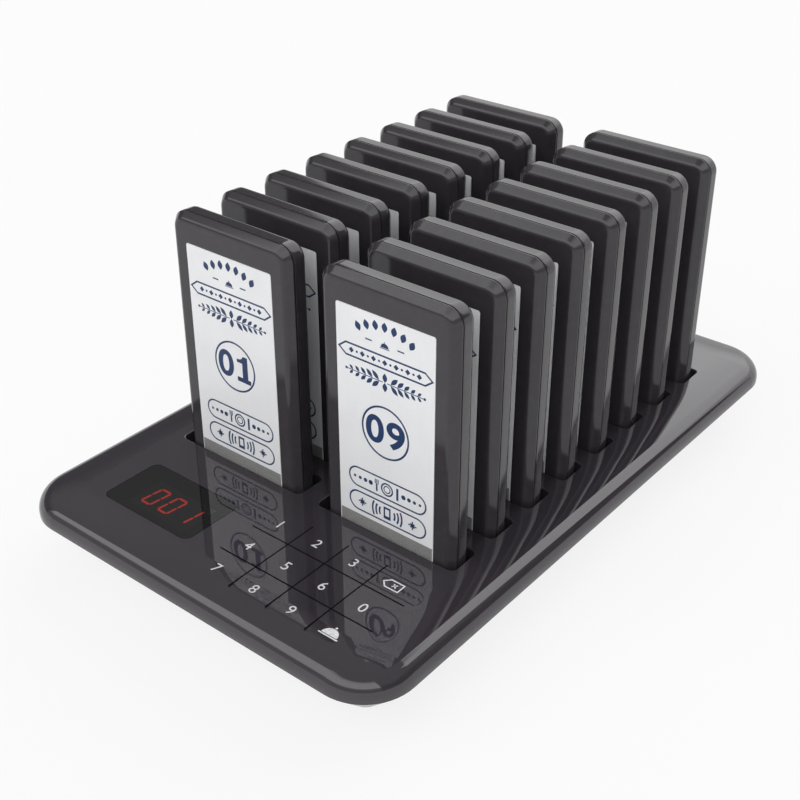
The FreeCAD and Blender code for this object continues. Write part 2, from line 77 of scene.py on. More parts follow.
MM = 0.001
PAGERS = sorted(body for body in frame["bodies"] if body.startswith("pager_"))
DECK_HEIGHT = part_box("top_case")[1].z
COVER_LOW, COVER_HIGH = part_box("pager_01_front_cover")
LABEL_LOW, LABEL_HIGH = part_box("pager_01_label")
PAGER_WIDTH = COVER_HIGH.x - COVER_LOW.x
PAGER_HEIGHT = COVER_HIGH.z - COVER_LOW.z
PAGER_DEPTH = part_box("pager_01_rear_assembly")[1].y - COVER_LOW.y
LABEL_WIDTH = LABEL_HIGH.x - LABEL_LOW.x
LABEL_HEIGHT = LABEL_HIGH.z - LABEL_LOW.z
LABEL_FOOT = LABEL_LOW.z - COVER_LOW.z


# -------- Settings --------


class ShellSettings(bpy.types.PropertyGroup):
    corner_radius: FloatProperty(
        name="Corner Radius", description="Radius of the pager's corners, seen from the front",
        default=6.0 * MM, min=1 * MM, max=12 * MM, unit="LENGTH",
    )
    cover_depth: FloatProperty(
        name="Cover Depth", description="Depth of the front cover, from its face to the seam",
        default=3.1 * MM, min=1 * MM, max=6 * MM, unit="LENGTH",
    )
    cover_draft: FloatProperty(
        name="Cover Draft", description="How far the front face lies inside the widest line",
        default=2.4 * MM, min=0.2 * MM, max=5 * MM, unit="LENGTH",
    )
    face_round: FloatProperty(
        name="Face Rounding", description="Radius between the front face and the sloping band around it",
        default=2.6 * MM, min=0.1 * MM, max=4 * MM, unit="LENGTH",
    )
    back_round: FloatProperty(
        name="Back Rounding", description="Radius around the edge of the back",
        default=3.0 * MM, min=0.1 * MM, max=4 * MM, unit="LENGTH",
    )
    seam_width: FloatProperty(
        name="Seam Width", description="Width of the groove between the covers",
        default=0.5 * MM, min=0.05 * MM, max=1 * MM, unit="LENGTH",
    )
    seam_depth: FloatProperty(
        name="Seam Depth", description="Depth of the groove between the covers",
        default=0.6 * MM, min=0.1 * MM, max=1.5 * MM, unit="LENGTH",
    )
    corner_steps: IntProperty(name="Corner Steps", description="Faces around each corner", default=14, min=3, max=48)
    round_steps: IntProperty(name="Rounding Steps", description="Faces across each rounding", default=6, min=2, max=24)


class FinishSettings(bpy.types.PropertyGroup):
    deck_color: FloatVectorProperty(
        name="Deck", description="Colour of the glossy top case",
        default=(0.0380, 0.0322, 0.0407), subtype="COLOR", size=3, min=0, max=1,
    )
    hull_color: FloatVectorProperty(
        name="Hull", description="Colour of the bottom case",
        default=(0.0320, 0.0285, 0.0330), subtype="COLOR", size=3, min=0, max=1,
    )
    pager_color: FloatVectorProperty(
        name="Pager", description="Colour of the pager covers",
        default=(0.0370, 0.0333, 0.0378), subtype="COLOR", size=3, min=0, max=1,
    )
    label_color: FloatVectorProperty(
        name="Label", description="Colour of the bare label film",
        default=(0.88, 0.885, 0.90), subtype="COLOR", size=3, min=0, max=1,
    )
    ink_color: FloatVectorProperty(
        name="Ink", description="Colour of the label's print",
        default=(0.007, 0.034, 0.118), subtype="COLOR", size=3, min=0, max=1,
    )
    legend_color: FloatVectorProperty(
        name="Legends", description="Colour of the keypad's numerals",
        default=(0.82, 0.82, 0.84), subtype="COLOR", size=3, min=0, max=1,
    )
    led_color: FloatVectorProperty(
        name="Digits", description="Colour of the lit segments",
        default=(1.0, 0.035, 0.02), subtype="COLOR", size=3, min=0, max=1,
    )
    led_strength: FloatProperty(
        name="Digit Strength", description="Brightness of the lit segments behind the pane", default=3.7, min=0, max=50
    )
    shown_number: StringProperty(name="Shown Number", description="The three digits on the display", default="001")


class StudioSettings(bpy.types.PropertyGroup):
    floor_color: FloatVectorProperty(
        name="Floor", description="Colour of the floor",
        default=(0.86, 0.86, 0.86), subtype="COLOR", size=3, min=0, max=1,
    )
    floor_glow: FloatProperty(
        name="Floor White", description="Share of plain white in what the camera sees of the floor",
        default=0.84, min=0, max=1, subtype="FACTOR",
    )
    horizon_level: FloatProperty(
        name="Horizon", description="Brightness of the surroundings near the horizon", default=1.0, min=0, max=4
    )
    room_level: FloatProperty(
        name="Room", description="Brightness of the unlit room above the horizon", default=0.12, min=0, max=4
    )
    overhead_level: FloatProperty(
        name="Overhead", description="Brightness of the room overhead", default=0.42, min=0, max=4
    )
    front_level: FloatProperty(
        name="Front", description="Brightness of the wide softbox in front of the object", default=2.2, min=0, max=40
    )
    back_level: FloatProperty(
        name="Back", description="Brightness of the softbox behind the object", default=2.5, min=0, max=40
    )
    camera_azimuth: FloatProperty(
        name="Azimuth", description="Direction of the camera around the object",
        default=math.radians(39.054), subtype="ANGLE",
    )
    camera_elevation: FloatProperty(
        name="Elevation", description="Tilt of the camera above the horizon",
        default=math.radians(30.083), subtype="ANGLE",
    )
    camera_place: FloatVectorProperty(
        name="Camera Place", description="Where the camera stands", size=3, subtype="TRANSLATION", unit="LENGTH",
        default=(0.26378, -0.34159, 0.29724),
    )
    focal_length: FloatProperty(
        name="Focal Length", description="Focal length for a frame 36 mm wide, in millimetres", default=58.733, min=10
    )
    frame_shift: FloatProperty(
        name="Vertical Shift", description="Shift of the frame, as a share of its width", default=-0.0375
    )


class PagerSystemSettings(bpy.types.PropertyGroup):
    shell: PointerProperty(type=ShellSettings)
    finish: PointerProperty(type=FinishSettings)
    studio: PointerProperty(type=StudioSettings)


# -------- Shader nodes --------

DUST_COLOR = (0.30, 0.29, 0.28, 1.0)


def add_node(tree, kind, inputs=None, **settings):
    """A node with its settings, and its inputs set to values or linked from sockets."""
    node = tree.nodes.new(kind)
    for name, value in settings.items():
        setattr(node, name, value)
    for name, source in (inputs or {}).items():
        if isinstance(source, bpy.types.NodeSocket):
            tree.links.new(source, node.inputs[name])
        else:
            node.inputs[name].default_value = source
    return node


def tree_of(*sources):
    """The tree that the sockets among the sources belong to."""
    return next(source.id_data for source in sources if isinstance(source, bpy.types.NodeSocket))


def math_node(operation, first, second=0.0, clamp=False):
    inputs = {0: first, 1: second}
    return add_node(tree_of(first, second), "ShaderNodeMath", inputs, operation=operation, use_clamp=clamp).outputs[0]


def times(first, second, clamp=False):
    return math_node("MULTIPLY", first, second, clamp)


def plus(first, second, clamp=False):
    return math_node("ADD", first, second, clamp)


def per(length):
    """How many of a length go into one metre."""
    return math_node("DIVIDE", 1.0, length)


def mix_color(factor, first, second):
    inputs = {0: factor, 6: first, 7: second}
    return add_node(tree_of(*inputs.values()), "ShaderNodeMix", inputs, data_type="RGBA").outputs[2]


def remap(value, low, high, new_low=0.0, new_high=1.0):
    inputs = {"Value": value, "From Min": low, "From Max": high, "To Min": new_low, "To Max": new_high}
    return add_node(value.id_data, "ShaderNodeMapRange", inputs, interpolation_type="SMOOTHSTEP").outputs["Result"]


def band(value, low, high, soft):
    """1 between two values and 0 outside them, with soft edges."""
    return times(remap(value, low - soft, low + soft), remap(value, high - soft, high + soft, 1.0, 0.0))


def noise(place, scale, detail=3.0, roughness=0.5, distortion=0.0):
    inputs = {"Vector": place, "Scale": scale, "Detail": detail, "Roughness": roughness, "Distortion": distortion}
    return add_node(place.id_data, "ShaderNodeTexNoise", inputs).outputs[0]


def rgba(color, level=1.0):
    return (*(channel * level for channel in color), 1.0)


def effect_group(name, inputs, outputs):
    """An empty node group: its tree, its input sockets by name and its output node. inputs are (name, default)."""
    tree = bpy.data.node_groups.new(name, "ShaderNodeTree")
    for socket, default in inputs:
        tree.interface.new_socket(socket, in_out="INPUT", socket_type="NodeSocketFloat").default_value = default
    for socket in outputs:
        tree.interface.new_socket(socket, in_out="OUTPUT", socket_type="NodeSocketFloat")
    return tree, tree.nodes.new("NodeGroupInput").outputs, tree.nodes.new("NodeGroupOutput")


def feed(node, **sources):
    """Links sources to a node's inputs; a name's spaces are written as underscores."""
    for socket, source in sources.items():
        node.id_data.links.new(source, node.inputs[socket.replace("_", " ")])


def surface_place(tree):
    """A point's place on its own piece, moved apart for each piece so that no two carry the same marks."""
    place = add_node(tree, "ShaderNodeTexCoord").outputs["Object"]
    apart = add_node(tree, "ShaderNodeObjectInfo").outputs["Location"]
    spread = add_node(tree, "ShaderNodeVectorMath", {0: apart, 1: (1.7, 1.3, 2.1)}, operation="MULTIPLY").outputs[0]
    return add_node(tree, "ShaderNodeVectorMath", {0: place, 1: spread}, operation="ADD").outputs[0]


def moulded_surface():
    """Height of a moulded face: fine spark-erosion grain on a long, shallow waviness."""
    tree, given, result = effect_group(
        "Moulded Surface", [("Grain Size", 0.0005), ("Grain", 0.3), ("Wave Size", 0.02), ("Waviness", 0.7)], ["Height"]
    )
    place = surface_place(tree)
    grain = noise(place, per(given["Grain Size"]), 4.0, 0.6)
    wave = noise(place, per(given["Wave Size"]), 1.0, 0.4)
    feed(result, Height=plus(times(grain, given["Grain"]), times(wave, given["Waviness"])))
    return tree


def hairlines(place, turn, scale, stretch):
    """A mask of fine straight scratches that run in one direction."""
    tree, across = place.id_data, scale * stretch
    drawn = {"Vector": place, "Rotation": turn, "Scale": (scale, across, across)}
    cells = {"Vector": add_node(tree, "ShaderNodeMapping", drawn).outputs[0], "Scale": 1.0, "Randomness": 1.0}
    edges = add_node(tree, "ShaderNodeTexVoronoi", cells, feature="DISTANCE_TO_EDGE").outputs["Distance"]
    return remap(edges, 0.0, 0.035, 1.0, 0.0)


def handling_marks():
    """Masks of scratches, smudges and settled dust."""
    tree, given, result = effect_group(
        "Handling Marks",
        [("Scratch Spacing", 0.012), ("Scratches", 0.4), ("Smudge Size", 0.03), ("Smudges", 0.5), ("Dust", 0.3)],
        ["Scratches", "Smudges", "Dust"],
    )
    place = surface_place(tree)
    density = per(given["Scratch Spacing"])
    near = add_node(tree, "ShaderNodeVectorMath", {0: place, "Scale": density}, operation="SCALE").outputs[0]
    first = hairlines(near, (0.3, 0.2, 0.5), 1.0, 0.07)
    second = hairlines(near, (0.1, 0.7, 2.0), 1.3, 0.06)
    patches = remap(noise(place, 60.0, 2.0), 0.48, 0.68)
    lines = times(math_node("MAXIMUM", first, second), patches)
    spots = noise(place, per(given["Smudge Size"]), 5.0, 0.62, 0.6)
    smudges = times(remap(spots, 0.45, 0.75), given["Smudges"], True)
    specks = remap(noise(place, 2600.0, 1.0), 0.70, 0.80)
    normal = add_node(tree, "ShaderNodeNewGeometry").outputs["Normal"]
    up = add_node(tree, "ShaderNodeSeparateXYZ", {0: normal}).outputs["Z"]
    dust = times(times(remap(up, 0.3, 0.95), specks), given["Dust"], True)
    feed(result, Scratches=times(lines, given["Scratches"], True), Smudges=smudges, Dust=dust)
    return tree


def edge_wear():
    """A mask of polished, slightly paler edges, broken up by noise. The pieces carry where their edges are."""
    tree, given, result = effect_group("Edge Wear", [("Amount", 0.5), ("Break Up", 0.004)], ["Wear"])
    edge = add_node(tree, "ShaderNodeAttribute", attribute_name="edge").outputs["Fac"]
    spots = noise(surface_place(tree), per(given["Break Up"]), 4.0, 0.65)
    worn = times(edge, remap(spots, 0.42, 0.66))
    feed(result, Wear=times(worn, given["Amount"], True))
    return tree


def effect(name):
    makers = {"Moulded Surface": moulded_surface, "Handling Marks": handling_marks, "Edge Wear": edge_wear}
    return bpy.data.node_groups.get(name) or makers[name]()


def place_effect(tree, name, **values):
    """An effect group in a material, with its own values; a name's spaces are written as underscores."""
    inputs = {socket.replace("_", " "): value for socket, value in values.items()}
    return add_node(tree, "ShaderNodeGroup", inputs, node_tree=effect(name)).outputs


def shared(make, name, *values, **options):
    """The material of this name, made the first time it is asked for."""
    return bpy.data.materials.get(name) or make(name, *values, **options)


def new_material(name, **values):
    """A material, its tree and its shader with some inputs set; a name's spaces are written as underscores."""
    material = bpy.data.materials.new(name)
    material.use_nodes = True
    tree = material.node_tree
    shader = tree.nodes["Principled BSDF"]
    for socket, value in values.items():
        shader.inputs[socket.replace("_", " ")].default_value = value
    return material, tree, shader


def bump(shader, height, strength, distance):
    inputs = {"Height": height, "Strength": strength, "Distance": distance}
    feed(shader, Normal=add_node(shader.id_data, "ShaderNodeBump", inputs).outputs["Normal"])


def moulded_plastic(name, color, roughness, ior, grain, waviness, marks, wear=0.0):
    """Pigmented plastic: clouded pigment, moulded skin, and marks (scratches, smudges, dust) of use."""
    material, tree, shader = new_material(name, IOR=ior)
    scratches, smudges, dust = marks
    clouds = noise(surface_place(tree), 45.0, 3.0, 0.55)
    tone = mix_color(remap(clouds, 0.3, 0.7), rgba(color, 0.96), rgba(color, 1.04))
    used = place_effect(tree, "Handling Marks", Scratches=scratches, Smudges=smudges, Dust=dust)
    dusty = mix_color(used["Dust"], tone, DUST_COLOR)
    base = mix_color(times(used["Scratches"], 0.12), dusty, rgba(color, 2.0))
    rough = plus(times(used["Smudges"], 0.04), roughness)
    rough = plus(times(used["Scratches"], 0.08), rough)
    rough = plus(times(used["Dust"], 0.4), rough, True)
    if wear:
        worn = place_effect(tree, "Edge Wear", Amount=wear)["Wear"]
        base = mix_color(worn, base, rgba(color, 1.5))
        rough = math_node("SUBTRACT", rough, times(worn, 0.06), True)
    feed(shader, Base_Color=base, Roughness=rough)
    skin = place_effect(tree, "Moulded Surface", Grain=grain, Waviness=waviness)["Height"]
    cut = math_node("SUBTRACT", skin, times(used["Scratches"], 0.15))
    bump(shader, cut, 0.5, 0.02 * MM)
    return material


def deck_plastic(finish):
    return moulded_plastic(
        "Glossy deck", finish.deck_color, roughness=0.03, ior=1.62, grain=0.02, waviness=1.0, marks=(0.15, 0.25, 0.05)
    )


def hull_plastic(finish):
    return moulded_plastic(
        "Satin hull", finish.hull_color, roughness=0.20, ior=1.46, grain=0.20, waviness=0.8, marks=(0.15, 0.3, 0.05)
    )


def cover_plastic(finish):
    return moulded_plastic(
        "Pager cover", finish.pager_color, roughness=0.11, ior=1.46, grain=0.04, waviness=0.7,
        marks=(0.15, 0.3, 0.04), wear=0.25,
    )


def black_moulding():
    return shared(
        moulded_plastic, "Black moulding", (0.018, 0.018, 0.019), roughness=0.34, ior=1.45, grain=0.5, waviness=0.6,
        marks=(0.2, 0.3, 0.1),
    )


def gold_plate():
    return shared(plated_metal, "Gold plate", (0.86, 0.62, 0.26), roughness=0.2)


def foot_rubber():
    """Matte rubber with a fine moulded grain and pale bloom."""
    material, tree, shader = new_material("Foot rubber")
    bloom = remap(noise(surface_place(tree), 320.0, 5.0, 0.6), 0.45, 0.75)
    color = mix_color(bloom, (0.020, 0.020, 0.021, 1), (0.045, 0.044, 0.043, 1))
    feed(shader, Base_Color=color, Roughness=remap(bloom, 0.0, 1.0, 0.72, 0.9))
    bump(shader, place_effect(tree, "Moulded Surface", Grain=1.0, Waviness=0.4)["Height"], 0.6, 0.04 * MM)
    return material


def label_film(finish):
    """White printed film with faint paper-like mottling and a soft sheen."""
    material, tree, shader = new_material("Label film", IOR=1.45)
    color = finish.label_color
    place = surface_place(tree)
    fibre = noise(place, 900.0, 6.0, 0.7)
    mottle = noise(place, 70.0, 3.0, 0.5)
    base = mix_color(remap(mottle, 0.3, 0.7), rgba(color, 0.975), rgba(color))
    fine = mix_color(remap(fibre, 0.52, 0.72, 0.0, 0.35), base, rgba(color, 0.9))
    used = place_effect(tree, "Handling Marks", Scratches=0.35, Smudges=0.5, Dust=0.1)
    soiled = mix_color(times(used["Scratches"], 0.12), fine, (0.45, 0.44, 0.42, 1.0))
    feed(shader, Base_Color=soiled, Roughness=plus(times(used["Smudges"], 0.12), 0.32))
    bump(shader, fibre, 0.12, 0.02 * MM)
    return material


def printed_ink(name, color, roughness, speckle, ior=1.45):
    """Screen-printed ink with tiny pinholes and an uneven density; also used for the painted shade band at the labels'
    feet.
    """
    material, tree, shader = new_material(name, IOR=ior)
    place = surface_place(tree)
    density = noise(place, 1400.0, 4.0, 0.6)
    tone = mix_color(remap(density, 0.35, 0.65), rgba(color, 0.88), rgba(color, 1.1))
    holes = times(remap(noise(place, 5200.0, 1.0), 0.70, 0.78), speckle)
    pale = mix_color(holes, tone, rgba([min(1.0, channel * 1.5 + 0.05) for channel in color]))
    rough = remap(density, 0.3, 0.7, roughness - 0.05, roughness + 0.08)
    feed(shader, Base_Color=pale, Roughness=rough)
    bump(shader, density, 0.2, 0.01 * MM)
    return material


def smoked_pane():
    """Tinted clear pane over the display."""
    material, tree, shader = new_material("Smoked pane", IOR=1.57, Transmission_Weight=1.0)
    smudges = place_effect(tree, "Handling Marks", Scratches=0.2, Smudges=0.4, Dust=0.05)["Smudges"]
    tint = mix_color(times(smudges, 0.2), (0.10, 0.09, 0.09, 1.0), (0.13, 0.12, 0.12, 1.0))
    feed(shader, Base_Color=tint, Roughness=plus(times(smudges, 0.02), 0.015))
    return material


def lit_segment(finish):
    """A glowing light bar, a little uneven along its length."""
    material, tree, shader = new_material(
        "Lit segment", Base_Color=(0.25, 0.01, 0.01, 1.0), Roughness=0.5, Emission_Strength=finish.led_strength
    )
    flow = remap(noise(surface_place(tree), 1500.0, 2.0), 0.35, 0.65)
    feed(shader, Emission_Color=mix_color(flow, rgba(finish.led_color, 0.85), rgba(finish.led_color)))
    return material


def circuit_board(name):
    """Solder mask with darker laminate showing between copper runs and rows of tinned pads."""
    material, tree, shader = new_material(name)
    place = surface_place(tree)
    bricks = {
        "Vector": place, "Color1": (0, 0, 0, 1), "Color2": (0.5, 0.5, 0.5, 1), "Mortar": (1, 1, 1, 1),
        "Scale": 180.0, "Mortar Size": 0.05, "Brick Width": 1.3, "Row Height": 0.34,
    }
    runs = add_node(tree, "ShaderNodeTexBrick", bricks, offset=0.37, squash=1.4, squash_frequency=3).outputs["Color"]
    dots = add_node(tree, "ShaderNodeTexVoronoi", {"Vector": place, "Scale": 420.0, "Randomness": 0.25}).outputs[0]
    rows = remap(noise(place, 70.0, 1.0), 0.56, 0.60)
    tinned = times(remap(dots, 0.10, 0.14, 1.0, 0.0), rows)
    mask = mix_color(runs, (0.006, 0.055, 0.022, 1.0), (0.016, 0.13, 0.048, 1.0))
    base = mix_color(tinned, mask, (0.72, 0.70, 0.66, 1.0))
    feed(shader, Base_Color=base, Metallic=tinned, Roughness=remap(tinned, 0.0, 1.0, 0.36, 0.28))
    bump(shader, runs, 0.3, 0.04 * MM)
    return material


def plated_metal(name, color, roughness):
    """Plated metal with fine drawing lines and dulled patches."""
    material, tree, shader = new_material(name, Metallic=1.0)
    place = surface_place(tree)
    dull = remap(noise(place, 500.0, 4.0, 0.6), 0.4, 0.7)
    drawn = add_node(tree, "ShaderNodeMapping", {"Vector": place, "Scale": (400.0, 9000.0, 400.0)}).outputs[0]
    lines = noise(drawn, 1.0, 2.0)
    rough = plus(times(lines, 0.08), plus(times(dull, 0.15), roughness))
    feed(shader, Base_Color=mix_color(dull, rgba(color), rgba(color, 0.72)), Roughness=rough)
    bump(shader, lines, 0.15, 0.02 * MM)
    return material


def dress(node, material):
    """Gives a CAD node its material."""
    for slot in frame["nodes"][node].material_slots:
        slot.material = material


# -------- Mesh making --------

SHARP_ANGLE = math.radians(32)


def upright(a, b, depth):
    """An outline seen from the front, with its depth towards the back."""
    return (a, depth, b)


def flat(a, b, depth):
    """An outline seen from above, with its depth upwards."""
    return (a, b, depth)


def ring(half_a, half_b, radius, depth, steps, middle=(0.0, 0.0)):
    """Points around a rounded rectangle."""
    points = []
    for quarter, (side_a, side_b) in enumerate(((1, 1), (-1, 1), (-1, -1), (1, -1))):
        x, y = middle[0] + side_a * (half_a - radius), middle[1] + side_b * (half_b - radius)
        points += [(a, b, depth) for a, b in arc(x, y, radius, 90 * quarter, 90 * quarter + 90, steps)]
    return points


def rounded_line(corners, steps):
    """Points (x, y, rounded) along a line of (x, y, radius) corners, each rounded to its radius."""
    points = []
    for index, (x, y, radius) in enumerate(corners):
        if radius == 0:
            points.append((x, y, 0.0))
            continue
        corner = Vector((x, y))
        before = (Vector(corners[index - 1][:2]) - corner).normalized()
        after = (Vector(corners[index + 1][:2]) - corner).normalized()
        half = before.angle(after) / 2
        centre = corner + (before + after).normalized() * (radius / math.sin(half))
        start = corner + before * (radius / math.tan(half)) - centre
        end = corner + after * (radius / math.tan(half)) - centre
        sweep = start.angle(end)
        for step in range(steps + 1):
            share = step / steps
            arm = (start * math.sin((1 - share) * sweep) + end * math.sin(share * sweep)) / math.sin(sweep)
            points.append((*(centre + arm), 1.0))
    return points


def loft(name, rings, axes, edges=None):
    """A closed skin over rings of equally many points, capped at both ends. edges marks worn rings with 1."""
    shape = bmesh.new()
    mark = shape.verts.layers.float.new("edge")
    rows = []
    for index, points in enumerate(rings):
        row = [shape.verts.new(axes(*point)) for point in points]
        for vertex in row:
            vertex[mark] = edges[index] if edges else 0.0
        rows.append(row)
    for first, second in zip(rows, rows[1:]):
        for a, b, c, d in zip(first, first[1:] + first[:1], second[1:] + second[:1], second):
            shape.faces.new((a, b, c, d))
    shape.faces.new(rows[0])
    shape.faces.new(rows[-1])
    bmesh.ops.recalc_face_normals(shape, faces=shape.faces)
    return finish_mesh(name, shape)


def finish_mesh(name, shape):
    mesh = bpy.data.meshes.new(name)
    shape.to_mesh(mesh)
    shape.free()
    mesh.shade_smooth()
    mesh.set_sharp_from_angle(angle=SHARP_ANGLE)
    return mesh


def joined(name, meshes):
    """One mesh of several, which are used up."""
    shape = bmesh.new()
    for mesh in meshes:
        shape.from_mesh(mesh)
        bpy.data.meshes.remove(mesh)
    return finish_mesh(name, shape)


def slab(name, half_a, half_b, radius, low, high, axes, edge_round=0.0, steps=4, middle=(0.0, 0.0)):
    """A flat rounded plate whose upper and lower edges are rounded too."""
    corners = [(edge_round * 2, low, 0), (0, low, edge_round), (0, high, edge_round), (edge_round * 2, high, 0)]
    line = rounded_line(corners, 3) if edge_round else [(0, low, 0), (0, high, 0)]
    rings = [ring(half_a - inset, half_b - inset, max(radius - inset, 0.02 * MM), depth, steps, middle)
             for inset, depth, _ in line]
    return loft(name, rings, axes, [rounded for *_, rounded in line])


def show(name, mesh, body, material, place, even=False):
    """Puts a piece in the scene, riding on its body; even shades its large faces flat up to their roundings."""
    piece = bpy.data.objects.new(name, mesh)
    if not mesh.materials:
        mesh.materials.append(material)
    bpy.context.scene.collection.objects.link(piece)
    piece.location = place
    if even:
        piece.modifiers.new("Even shading", "WEIGHTED_NORMAL").keep_sharp = True
    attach(piece, body)
    return piece


def evaluated(mesh, cutter):
    """The mesh with the cutter taken out of it."""
    scene = bpy.context.scene
    body = bpy.data.objects.new("cut body", mesh)
    tool = bpy.data.objects.new("cut tool", cutter)
    scene.collection.objects.link(body)
    scene.collection.objects.link(tool)
    change = body.modifiers.new("Cut", "BOOLEAN")
    change.operation = "DIFFERENCE"
    change.solver = "EXACT"
    change.object = tool
    graph = bpy.context.evaluated_depsgraph_get()
    result = bpy.data.meshes.new_from_object(body.evaluated_get(graph))
    bpy.data.objects.remove(body)
    bpy.data.objects.remove(tool)
    result.name = mesh.name
    return result


def foot_of(low, high):
    """The middle of a box's front, at its lower edge."""
    return Vector(((low.x + high.x) / 2, low.y, low.z))


# Prints: closed loops of (x, y) points in millimetres; a tuple of an outer and an inner loop is filled between them


def arc(x, y, radius, start, end, steps):
    """Points around (x, y) from one angle to another, in degrees."""
    turns = [math.radians(start + (end - start) * step / steps) for step in range(steps + 1)]
    return [(x + radius * math.cos(turn), y + radius * math.sin(turn)) for turn in turns]


def circle(x, y, radius, steps=48):
    return arc(x, y, radius, 0, 360, steps)[:-1]


def turned(points, x, y, degrees):
    """Points turned about the origin, then moved to (x, y)."""
    across, along = math.cos(math.radians(degrees)), math.sin(math.radians(degrees))
    return [(x + a * across - b * along, y + a * along + b * across) for a, b in points]


def bar(x, y, width, height, turn=0.0):
    """A rectangle centred on (x, y), turned by degrees."""
    corners = [(side * width / 2, end * height / 2) for side, end in ((-1, -1), (1, -1), (1, 1), (-1, 1))]
    return turned(corners, x, y, turn)


def capsule(x, y, width, height, steps=12):
    radius = height / 2
    reach = width / 2 - radius
    return arc(x + reach, y, radius, -90, 90, steps) + arc(x - reach, y, radius, 90, 270, steps)


def arc_stroke(x, y, radius, width, start, end, steps=16):
    """A bent stroke around (x, y) from one angle to another, in degrees."""
    outer, inner = (arc(x, y, radius + side * width / 2, start, end, steps) for side in (1, -1))
    return outer + inner[::-1]


def leaf(x, y, length, width, turn, steps=10):
    """A pointed leaf that starts at (x, y)."""
    edge = []
    for step in range(2 * steps):
        share = step / steps
        side, along = (1, length * share) if share <= 1 else (-1, length * (2 - share))
        edge.append((along, side * width / 2 * math.sin(math.pi * along / length)))
    return turned(edge, x, y, turn)


def filled(shapes, thickness):
    """A thin print of separately filled shapes, lying on the XY plane."""
    parts = []
    for shape in shapes:
        curve = bpy.data.curves.new("print", "CURVE")
        curve.dimensions = "2D"
        curve.fill_mode = "BOTH"
        curve.extrude = thickness / 2
        for loop in shape if isinstance(shape, tuple) else (shape,):
            spline = curve.splines.new("POLY")
            spline.points.add(len(loop) - 1)
            for point, (x, y) in zip(spline.points, loop):
                point.co = (x * MM, y * MM, 0, 1)
            spline.use_cyclic_u = True
        parts.append(curve_mesh(curve))
    mesh = joined("print", parts)
    mesh.transform(Matrix.Translation((0, 0, thickness / 2)))
    return mesh


def curve_mesh(curve):
    holder = bpy.data.objects.new("print", curve)
    mesh = bpy.data.meshes.new_from_object(holder)
    bpy.data.objects.remove(holder)
    bpy.data.curves.remove(curve)
    return mesh


def numerals(text, height, thickness, bold=0.0, width=0.0):
    """Digits on the XY plane, centred on the origin and scaled to a height, and to a width if it is given."""
    curve = bpy.data.curves.new("digits", "FONT")
    curve.body = text
    curve.offset = bold
    mesh = curve_mesh(curve)
    shape = bmesh.new()
    shape.from_mesh(mesh)
    bpy.data.meshes.remove(mesh)
    xs, ys = zip(*(vertex.co.xy for vertex in shape.verts))
    tall = height / (max(ys) - min(ys))
    wide = width / (max(xs) - min(xs)) if width else tall
    centre = Vector(((max(xs) + min(xs)) / 2, (max(ys) + min(ys)) / 2, 0))
    shape.transform(Matrix.Diagonal((wide, tall, 1.0, 1.0)) @ Matrix.Translation(-centre))
    bmesh.ops.remove_doubles(shape, verts=shape.verts, dist=0.0001 * MM)
    for item in bmesh.ops.extrude_face_region(shape, geom=shape.faces[:])["geom"]:
        if isinstance(item, bmesh.types.BMVert):
            item.co.z += thickness
    bmesh.ops.recalc_face_normals(shape, faces=shape.faces)
    return finish_mesh("numerals", shape)


# -------- Prints of this product --------


def ring_shape(x, y, radius, stroke):
    return (circle(x, y, radius, 64), circle(x, y, radius - stroke, 64))


def numeral_one(width, height, stem, foot):
    """A bold figure one with a flag and a foot, centred on the origin."""
    half, top = width / 2, height / 2
    right = stem / 2 + 0.1 * width
    left = right - stem
    return [
        (-half, -top), (half, -top), (half, -top + foot), (right, -top + foot), (right, top),
        (left + 0.08 * width, top), (left - 0.02 * width, top - 0.10 * height),
        (left - 0.16 * width, top - 0.15 * height), (-half + 0.02 * width, top - 0.16 * height),
        (-half + 0.02 * width, top - 0.28 * height),
        (left, top - 0.28 * height), (left, -top + foot), (-half, -top + foot),
    ]


def counter_bell(x, y, size):
    """A counter bell: dome, foot and button."""
    return [
        arc(x, y, 0.5 * size, 0, 180, 24),
        bar(x, y - 0.09 * size, 1.24 * size, 0.09 * size),
        circle(x, y + 0.60 * size, 0.07 * size, 20),
    ]


def label_shapes():
    """The label's ornament, in millimetres from the middle of its foot."""
    arch_y, arch_radius = 62.3, 20.6
    band_y, band_pitch = 72.2, 4.6
    sprig_y = 65.0
    pill_x, plate_y, buzz_y = 0.6, 24.1, 14.45
    shapes = counter_bell(0, 77.5, 3.2)
    for step in range(-3, 4):
        turn = 90 + 9.7 * step
        x, y = arc(0, arch_y, arch_radius, turn, turn, 1)[0]
        shapes.append(leaf(x, y, 3.6, 2.3, turn))
        shapes.append(bar(band_pitch * step, band_y, 1.5, 1.5, 45))
    shapes += [circle(band_pitch * (step + 0.5), band_y, 0.45, 16) for step in range(-3, 3)]
    shapes.append((pointed_band(band_y, 39.0, 5.1), pointed_band(band_y, 37.0, 3.8)))
    for side in (-1, 1):
        shapes.append(bar(side * 6.5, 78.4, 2.7, 0.5))
        shapes.append(bar(side * 8.2, sprig_y, 14.6, 0.3))
        shapes.append(circle(side * 16.0, sprig_y, 0.5, 16))
        for step in range(5):
            x, length, width = side * (2.4 + 2.7 * step), 4.0 - 0.5 * step, 1.6 - 0.15 * step
            shapes += [leaf(x, sprig_y + 0.2 * rise, length, width, rise * (90 - side * 46)) for rise in (1, -1)]
    shapes += [leaf(0, sprig_y, 3.4, 1.9, turn) for turn in (90, -90)]
    shapes.append(ring_shape(0.0, 46.05, 9.9, 0.7))
    shapes += [(capsule(pill_x, y, 33.2, 8.1), capsule(pill_x, y, 32.0, 6.9)) for y in (plate_y, buzz_y)]
    return shapes + plate_sign(pill_x, plate_y) + buzz_sign(pill_x, buzz_y)


